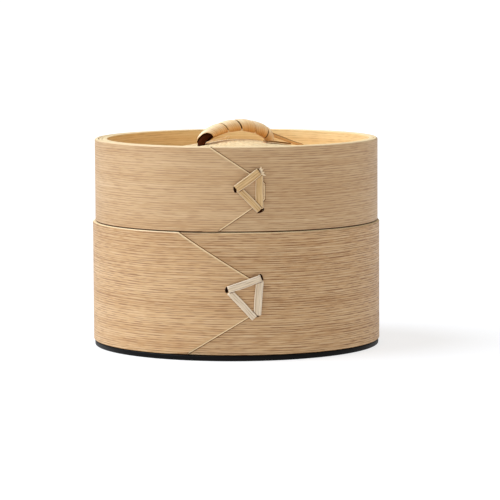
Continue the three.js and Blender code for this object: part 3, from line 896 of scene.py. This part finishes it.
def woven(name, depth, pitch, width, thick, turn, over, seed):
    """A woven layer whose middle is a depth below the panel's upper face.

    over(i, j) says whether strip i of the first set passes over strip j of the second.
    """
    chance = random.Random(seed)
    build = Build()
    reach = MAT_RADIUS - 0.0006
    count = int(reach / pitch)
    crossings = range(-count - 2, count + 3)
    half, up = width / 2, thick / 2
    loop = np.array([(-half, 0), (-0.7 * half, -up), (0.7 * half, -up), (half, 0),
                     (0.7 * half, up), (-0.7 * half, up)])
    bulge = 0.00010 * (1 - (loop[:, 0] / half) ** 2)
    for direction in range(2):
        angle = turn + direction * math.pi / 2
        way = np.array([math.cos(angle), math.sin(angle)])
        side = np.array([-way[1], way[0]])
        for i in range(-count, count + 1):
            offset = i * pitch
            edge = abs(offset) + half
            far = math.sqrt(reach ** 2 - edge ** 2) if edge < reach else 0
            if far < pitch:
                continue
            shift = (chance.random() - 0.5) * 0.0003
            tone = 0.6 + (chance.random() - 0.5) * 0.7
            start_grain = chance.random() * 3
            levels = {j: not over(-j, i) if direction else over(i, j) for j in crossings}
            rows, grain = [], []
            for t in woven_places(levels, pitch, far):
                swing = up if levels[round(t / pitch)] else -up
                across = loop[:, 0] + offset + shift
                flat = way[None, :] * t + side[None, :] * across[:, None]
                z = dome_z(np.linalg.norm(flat, axis=1)) - depth + swing + loop[:, 1] + bulge
                rows.append(np.column_stack([BORE_X + flat[:, 0], BORE_Y + flat[:, 1], z]))
                grain.append(grain_at(t + start_grain, loop + [i * 0.05, direction]))
            build.loft(rows, grain, tone)
    add_piece(name, build.mesh(name), "woven_mat", "lid")


# ---- Strips, rods and bars ----

def spline(points, count):
    """Evenly spaced points on a smooth curve through 3-D points, and its directions there."""
    points = np.array(points, float)
    padded = np.vstack([2 * points[0] - points[1], points, 2 * points[-1] - points[-2]])
    fine = []
    for i in range(len(points) - 1):
        a, b, c, d = padded[i:i + 4]
        for t in np.linspace(0, 1, 24, endpoint=False):
            fine.append(0.5 * (2 * b + (c - a) * t + (2 * a - 5 * b + 4 * c - d) * t ** 2
                               + (3 * b - a - 3 * c + d) * t ** 3))
    fine.append(points[-1])
    fine = np.array(fine)
    gone = np.concatenate([[0], np.cumsum(np.linalg.norm(np.diff(fine, axis=0), axis=1))])
    even = np.linspace(0, gone[-1], count)
    placed = np.column_stack([np.interp(even, gone, fine[:, k]) for k in range(3)])
    ways = np.gradient(placed, axis=0)
    ways /= np.linalg.norm(ways, axis=1)[:, None]
    return placed, ways, gone[-1]


def on_panel(points):
    """From (along the handle, across it, above the rim) to the row frame."""
    points = np.asarray(points, float)
    c, s = math.cos(HANDLE_TURN), math.sin(HANDLE_TURN)
    x = BORE_X + points[..., 0] * c - points[..., 1] * s
    y = BORE_Y + points[..., 0] * s + points[..., 1] * c
    return np.stack([x, y, RIM_Z + points[..., 2]], axis=-1)


def flat_strip(name, points, width, thick, tone, narrow_to, roll, edge_tone, dark_side):
    """A flat strip of cane along a curve over the panel, its width level or rolled towards the
    front by some degrees, one of its long edges and its first end darker with painted shade."""
    steps = 26
    placed, ways, length = spline(points, steps)
    loop = rounded(slab(width, thick), thick * 0.35, 3, 0.0004)
    turned = math.radians(roll)
    rows, grain = [], []
    for i, (point, way) in enumerate(zip(placed, ways)):
        side = unit(np.array([-way[1], way[0], 0]))
        up = np.cross(way, side)
        side, up = (side * math.cos(turned) + up * math.sin(turned),
                    up * math.cos(turned) - side * math.sin(turned))
        share = i / (steps - 1)
        wide = 1 + (narrow_to - 1) * share
        ends = 0.72 if i in (0, steps - 1) else 1.0
        put = point + side * (loop[:, :1] * wide * ends) + up * (loop[:, 1:] * ends)
        rows.append(on_panel(put))
        grain.append(grain_at(share * length, loop))
    tones = np.full((steps, len(loop)), tone)
    # painted shade along one long edge, and at the strip's first end
    tones[:, loop[:, 0] * dark_side > 0.36 * width] = edge_tone
    tones[0] = -0.7
    add_loft(name, "cane", "lid", rows, grain, tones)


def round_loop(sides, first, second):
    """A circle of radius 1 between two directions, and the angles of its points."""
    circle = np.linspace(0, 2 * math.pi, sides, endpoint=False)
    return np.outer(np.cos(circle), first) + np.outer(np.sin(circle), second), circle


def turned_peg(name, body, way, half, radius, profile, grain_from=0.0):
    """A round peg through its CAD box's middle. profile holds shares of its half length and of
    its radius."""
    loop, circle = round_loop(16, [-way[1], way[0], 0], [0, 0, 1])
    centre = middle_of(name)
    around_peg = np.column_stack([circle * radius, circle * 0])
    rows = [centre + way * half * t + loop * radius * size for t, size in profile]
    grain = [grain_at(half * t + grain_from, around_peg) for t, _ in profile]
    add_loft(name, "bamboo_peg", body, rows, grain, 0.4)


# Along the handle and above the rim, as in the frame.
ARCH = [(-0.0363, -0.0056), (-0.0346, -0.0016), (-0.0313, 0.0021), (-0.0248, 0.0058),
        (-0.018, 0.0081), (-0.011, 0.0098), (-0.0011, 0.0109), (0.005, 0.0107),
        (0.0111, 0.0098), (0.0195, 0.0074), (0.025, 0.0049), (0.0286, 0.0019),
        (0.0306, -0.0016), (0.0312, -0.0054)]
WRAP_PITCH = 0.0142
WRAP_FROM = 0.0081  # where the evenly wound strip's left edge would start
SEAMS = (0.0008, 0.0015, 0.0003, 0.0009)  # gaps between the turns in front, from the left


def handle_core():
    """The round cane, all of it in the wrap's shadow: it shows in the mouth and the seams."""
    left, right = HANDLE_ENDS
    line = [(left, -0.019), (left, -0.011), *ARCH, (right, -0.011), (right, -0.019)]
    steps, sides = 70, 20
    placed, ways, length = spline([(u, 0, z) for u, z in line], steps)
    side = np.array([0.0, 1.0, 0.0])
    rows, grain = [], []
    for i, (point, way) in enumerate(zip(placed, ways)):
        size = CORE_RADIUS * (0.6 if i in (0, steps - 1) else 1.0)
        loop, circle = round_loop(sides, side, np.cross(way, side))
        rows.append(on_panel(point + loop * size))
        around_core = np.column_stack([circle * CORE_RADIUS, np.full(sides, CORE_RADIUS)])
        grain.append(grain_at(length * i / (steps - 1), around_core))
    add_loft("handle_core", "cane", "lid", rows, grain, -1.0)


# Where the strip's left edge is along the arch at parts of its first turn, from behind the
# handle over its top to its front: the mouth's rim.
MOUTH = ((-0.25, 0.0004), (-0.125, 0.0002), (0, 0.0002), (0.125, 0.0012), (0.25, 0.0048),
         (0.306, 0.0076), (0.375, 0.0103), (0.5, 0.0130), (0.625, 0.0138), (0.75, 0.0145),
         (1.0, 0.0223))


def wrap_edges(turned, length):
    """Where the strip's two edges are along the arch, after a number of turns."""
    even = WRAP_FROM + turned * WRAP_PITCH
    left = even
    if turned < 1:
        left = np.interp(turned, *zip(*MOUTH))
    gap = np.interp(turned, [0.5, 1.5, 2.5, 3.5], SEAMS)
    right = min(even + WRAP_PITCH - gap, length)
    return left, right


def loose_end(build):
    """The strip's other end, tucked out of the mouth and along under the handle."""
    line = [(-0.0330, -0.0030, -0.0036), (-0.0290, -0.0050, -0.0020), (-0.0220, -0.0054, -0.0009),
            (-0.0150, -0.0050, 0.0004), (-0.0110, -0.0046, 0.0012)]
    steps = 20
    placed, ways, length = spline(line, steps)
    loop = rounded(slab(0.0018, 0.0008), 0.0003, 3, 0.0004)
    side = np.array([0.0, -0.55, 0.84])
    rows, grain = [], []
    for i, (point, way) in enumerate(zip(placed, ways)):
        wide = 0.7 + 0.5 * (i / (steps - 1)) ** 2
        out = unit(np.cross(side, way))
        rows.append(on_panel(point + side * loop[:, :1] * wide + out * loop[:, 1:]))
        grain.append(grain_at(length * i / (steps - 1), loop))
    build.loft(rows, grain, 0.75)


def on_arch(arch, along, angle, radius):
    """A point round the arch: angle is 0 on its top and positive towards the front."""
    placed, ways, length = arch
    at = along / length * (len(placed) - 1)
    low = min(int(at), len(placed) - 2)
    part = at - low
    point = placed[low] * (1 - part) + placed[low + 1] * part
    way = unit(ways[low] * (1 - part) + ways[low + 1] * part)
    up = np.array([-way[2], 0, way[0]])
    front = np.array([0.0, -1.0, 0.0])
    radius *= 1 - 0.2 * share_between(along, length - 0.012, length)
    put = point + radius * (math.cos(angle) * up + math.sin(angle) * front)
    put[2] = max(put[2], dome_z(math.hypot(put[0], put[1])) - RIM_Z + 0.0002)
    return put


def handle_wrap():
    """A flat strip of rattan peel wound round the arch, mouth open at its left end."""
    arch = spline([(u, 0, z) for u, z in ARCH], 400)
    length = arch[2]
    across = np.linspace(0, 1, 11)
    thick = 0.0010
    rows, grain, tones, rims = [], [], [], []
    for turned in np.arange(-0.25, (length - WRAP_FROM - 0.002) / WRAP_PITCH, 1 / 36):
        left, right = wrap_edges(turned, length)
        angle = 2 * math.pi * turned - math.pi / 2
        outer, inner = [], []
        for share in across:
            along = left + (right - left) * share
            crown = 0.00030 * (1 - (2 * share - 1) ** 4)
            overlap = 0.00022 * (0.5 - share)
            edge = 0.00025 * (abs(2 * share - 1) > 0.99)
            outer.append((along, WRAP_OUTER - 0.0002 + crown + overlap - edge))
            inner.append((along, WRAP_OUTER - thick - 0.0002 + overlap))
        loop = outer + inner[::-1]
        rows.append(on_panel([on_arch(arch, along, angle, radius) for along, radius in loop]))
        grain.append([(angle * WRAP_OUTER, along - left, radius) for along, radius in loop])
        # painted light and shade round the strip: paler on its top, darker and more orange
        # underneath
        painted_top_light = 0.48 + 0.5 * math.cos(angle)
        # painted shade on the strip's inner face, the deep shadow colour inside the mouth
        inner_shade = -1.0 if turned < 0.62 else 0.1
        rim = 0.8 * (turned < 0.7)
        tones.append([painted_top_light] * len(outer) + [inner_shade] * len(inner))
        rims.append([rim] + [0] * (len(loop) - 2) + [rim])
    build = Build()
    build.loft(rows, grain, tones, edge=rims)
    loose_end(build)
    add_piece("handle_wrap", build.mesh("handle_wrap"), "cane", "lid")


def handle_strips():
    tail = [(0.0325, 0.0006, 0.0022), (0.0372, 0.001, 0.0003), (0.047, 0.0014, -0.0033),
            (0.057, 0.0018, -0.0069), (0.066, 0.0022, -0.0094)]
    tie = [(0.016, -0.020, -0.0027), (0.025, -0.0182, -0.0035), (0.035, -0.016, -0.0048),
           (0.044, -0.014, -0.0061)]
    flat_strip("handle_tail_strip", tail, 0.0042, 0.0012, 0.3, 0.6, 55, -0.6, 1)
    flat_strip("handle_tie_strip", tie, 0.006, 0.0011, 0.6, 1.0, 0.0, -0.7, -1)


def handle_pins():
    way = np.array([math.cos(HANDLE_TURN), math.sin(HANDLE_TURN), 0])
    profile = ((-1, 0.55), (-0.93, 0.9), (-0.8, 1), (0, 1.03), (0.8, 1), (0.93, 0.85), (1, 0.5))
    for side in ("left", "right"):
        turned_peg(f"handle_pin_{side}", "lid", way, 0.0085, 0.0013, profile)


def ribs():
    half = 0.006
    corners = [(-half, -RIB_THICK), (half, -RIB_THICK), (half, 0), (-half, 0)]
    loop = rounded(corners, 0.0005, 3, 0.0006)
    for name, u in zip(("lid_rib_left", "lid_rib_right"), HANDLE_ENDS):
        reach = math.sqrt((PANEL_RADIUS - 0.0006) ** 2 - (abs(u) + half) ** 2)
        rows, grain = [], []
        for v in np.linspace(-reach, reach, 90):
            radius = np.hypot(u + loop[:, 0], v)
            z = dome_z(radius) - 2 * (MAT_THICK + GAP) - 0.0004 + loop[:, 1] - RIM_Z
            ends = 0.85 if abs(v) > reach - 1e-6 else 1.0
            across = u + loop[:, 0] * ends
            rows.append(on_panel(np.column_stack([across, np.full(len(loop), v), z])))
            grain.append(grain_at(v + 3 * u, loop))
        add_loft(name, "bamboo_slat", "lid", rows, grain, 0.45)


def bar_across(name, side_axis, radius, seed):
    """A slat or bar that fills its CAD box, its ends cut to the round of the floor. Its width is
    along side_axis."""
    chance = random.Random(seed)
    low, high = box_of(name)
    centre = (low + high) / 2
    bore = np.array([BORE_X, BORE_Y])
    loop = rounded(slab(high[side_axis] - low[side_axis], high[2] - low[2]), 0.0007)
    knots = [chance.uniform(-0.08, 0.08)]
    if chance.random() < 0.45:
        knots.append(knots[0] + (0.12 if knots[0] < 0 else -0.12))
    steps = np.concatenate([[-1, -0.997], np.linspace(-0.985, 0.985, 60), [0.997, 1]])
    rows, grain = [], []
    cross = centre[side_axis] - bore[side_axis]
    start = chance.random() * 4
    for t in steps:
        run = t * np.sqrt(radius ** 2 - (loop[:, 0] + cross) ** 2)
        ridge = sum(np.exp(-((run - knot) / 0.0016) ** 2) for knot in knots)
        at_end = abs(t) == 1
        top = loop[:, 1] + 0.00018 * ridge * (loop[:, 1] > 0)
        top = top + 0.00005 * np.sin(run * 60 + start)
        placed = np.zeros((len(loop), 3))
        placed[:, 1 - side_axis] = bore[1 - side_axis] + run
        placed[:, side_axis] = centre[side_axis] + loop[:, 0] * (0.97 if at_end else 1.0)
        placed[:, 2] = centre[2] + top * (0.93 if at_end else 1.0)
        rows.append(placed)
        grain.append(np.column_stack([run + start, loop[:, 0], loop[:, 1] + start]))
    add_loft(name, "bamboo_slat", "basket", rows, grain, 0.25 + 0.5 * chance.random())


def pegs():
    profile = ((-1, 0.6), (-0.92, 0.94), (-0.7, 1), (0.5, 1), (0.95, 0.85), (1, 0.6))
    for i in range(4):
        name = f"ring_peg_{i + 1}"
        centre = middle_of(name)
        way = unit(np.array([centre[0] - BORE_X, centre[1] - BORE_Y, 0]))
        turned_peg(name, "basket", way, 0.00465, 0.0016, profile, i)


# ---- The two bodies ----

def ring_outline(inner, outer, low, high):
    return [(inner, low), (outer, low), (outer, high), (inner, high)]


def basket():
    hoop = StripHoop(BASKET_TURN, 0.004, HOOP_BASE_Z, HOOP_HIGH[2],
                     upper=-24.2, lower=-20.9, tip=7.5, tip_low=0.0378, tip_high=0.0617,
                     shaded_foot=0.0003)
    left, top, bottom = (-0.0103, 0.0567), (0.0191, 0.0668), (0.0154, 0.0345)
    upper = Leg((-0.0086, 0.0571), (0.0182, 0.0664), 0.0058, rise=0.0014)
    lower = Leg((-0.0074, 0.0546), (0.0128, 0.0328), 0.0055, rise=0.0007)
    upright = Leg((0.0176, 0.0640), (0.0153, 0.0352), 0.0064)
    slots = [(left, math.radians(82), 0.0056, 0.0032),
             (top, heading(left, top) + math.pi / 2, 0.0062, 0.0034),
             (bottom, 0.15, 0.0052, 0.0030)]
    lacing = Lacing(hoop, 0.0058, [upright, lower, upper], slots)
    lacing.add_pieces("base", "bamboo_basket", "lace_pale", "basket")

    body = SUPPORT_OUTER
    outline = [(BASKET_BORE, LIP_LOW[2]), (body, LIP_LOW[2]), (body, HOOP_HIGH[2] - 0.0005),
               (LIP_RADIUS, HOOP_HIGH[2]), (LIP_RADIUS, LIP_HIGH[2]), (BASKET_BORE, LIP_HIGH[2])]
    revolved("base_inner_hoop", outline, "bamboo_inside", "basket", 150)
    support = ring_outline(SUPPORT_BORE, body, SUPPORT_LOW[2], SUPPORT_HIGH[2])
    revolved("floor_support_ring", support, "bamboo_inside", "basket", 40)
    for side in ("left", "right"):
        bar_across(f"cross_bar_{side}", 0, 0.1186, side)
    for i in range(9):
        bar_across(f"floor_slat_{i + 1}", 1, 0.119, 20 + i)
    pegs()
    foot_ring()


def foot_ring():
    outer = (FOOT_HIGH[0] - FOOT_LOW[0]) / 2
    pad = HOOP_BASE_Z - GAP
    inner, step_inner, step_outer = 0.1085, 0.1123, SUPPORT_BORE - GAP
    outline = [(inner, 0), (outer, 0), (outer, pad), (step_outer, pad),
               (step_outer, FOOT_HIGH[2]), (step_inner, FOOT_HIGH[2]), (step_inner, pad),
               (inner, pad)]
    revolved("silicone_foot_ring", outline, "silicone", "basket", radius=0.0006, centre=(0, 0))


def twill(i, j):
    return (i + j) % 4 < 2


def plain(i, j):
    return (i + j) % 2 == 0


def lid():
    hoop = StripHoop(LID_TURN, 0.0032, LID_BASE_Z, RIM_Z,
                     upper=-11.2, lower=-8.4, tip=10.4, tip_low=0.0277, tip_high=0.0417,
                     shaded_foot=0.0008)
    left, top, bottom = (-0.0028, 0.0367), (0.0174, 0.0514), (0.0187, 0.0187)
    upper = Leg((-0.0014, 0.0376), (0.0170, 0.0514), 0.0066, rise=0.0018, tone=0.55)
    lower = Leg((0.0006, 0.0370), (0.0173, 0.0191), 0.0056, rise=0.0009, tone=0.45)
    upright = Leg((0.0175, 0.0484), (0.0177, 0.0206), 0.0063)
    slots = [(left, math.radians(100), 0.0060, 0.0030),
             (top, heading(left, top) + math.pi / 2, 0.0074, 0.0026),
             (bottom, math.radians(22), 0.0076, 0.0044)]
    lacing = Lacing(hoop, 0.0062, [upright, lower, upper], slots)
    lacing.add_pieces("lid", "bamboo_lid", "lace_tan", "lid", lid_tail)

    upper_ring = ring_outline(LID_BORE, HOOP_OUTER, UPPER_LOW[2], RIM_Z)
    lower_ring = ring_outline(LID_BORE, HOOP_OUTER, LOWER_LOW[2], LOWER_HIGH[2])
    revolved("lid_upper_inner_hoop", upper_ring, "bamboo_inside", "lid", 15)
    revolved("lid_lower_inner_hoop", lower_ring, "bamboo_inside", "lid", 130)
    under = MAT_THICK * 1.5 + GAP
    diagonal = math.radians(45)
    woven("lid_woven_mat", MAT_THICK / 2, 0.0028, 0.00265, 0.00026, diagonal, twill, 3)
    woven("lid_under_mat", under, 0.0110, 0.0096, 0.0006, 0.0, plain, 5)
    ribs()
    handle_core()
    handle_wrap()
    handle_strips()
    handle_pins()


make_camera()
MATERIALS = make_materials()
make_studio()
make_floor()
basket()
lid()
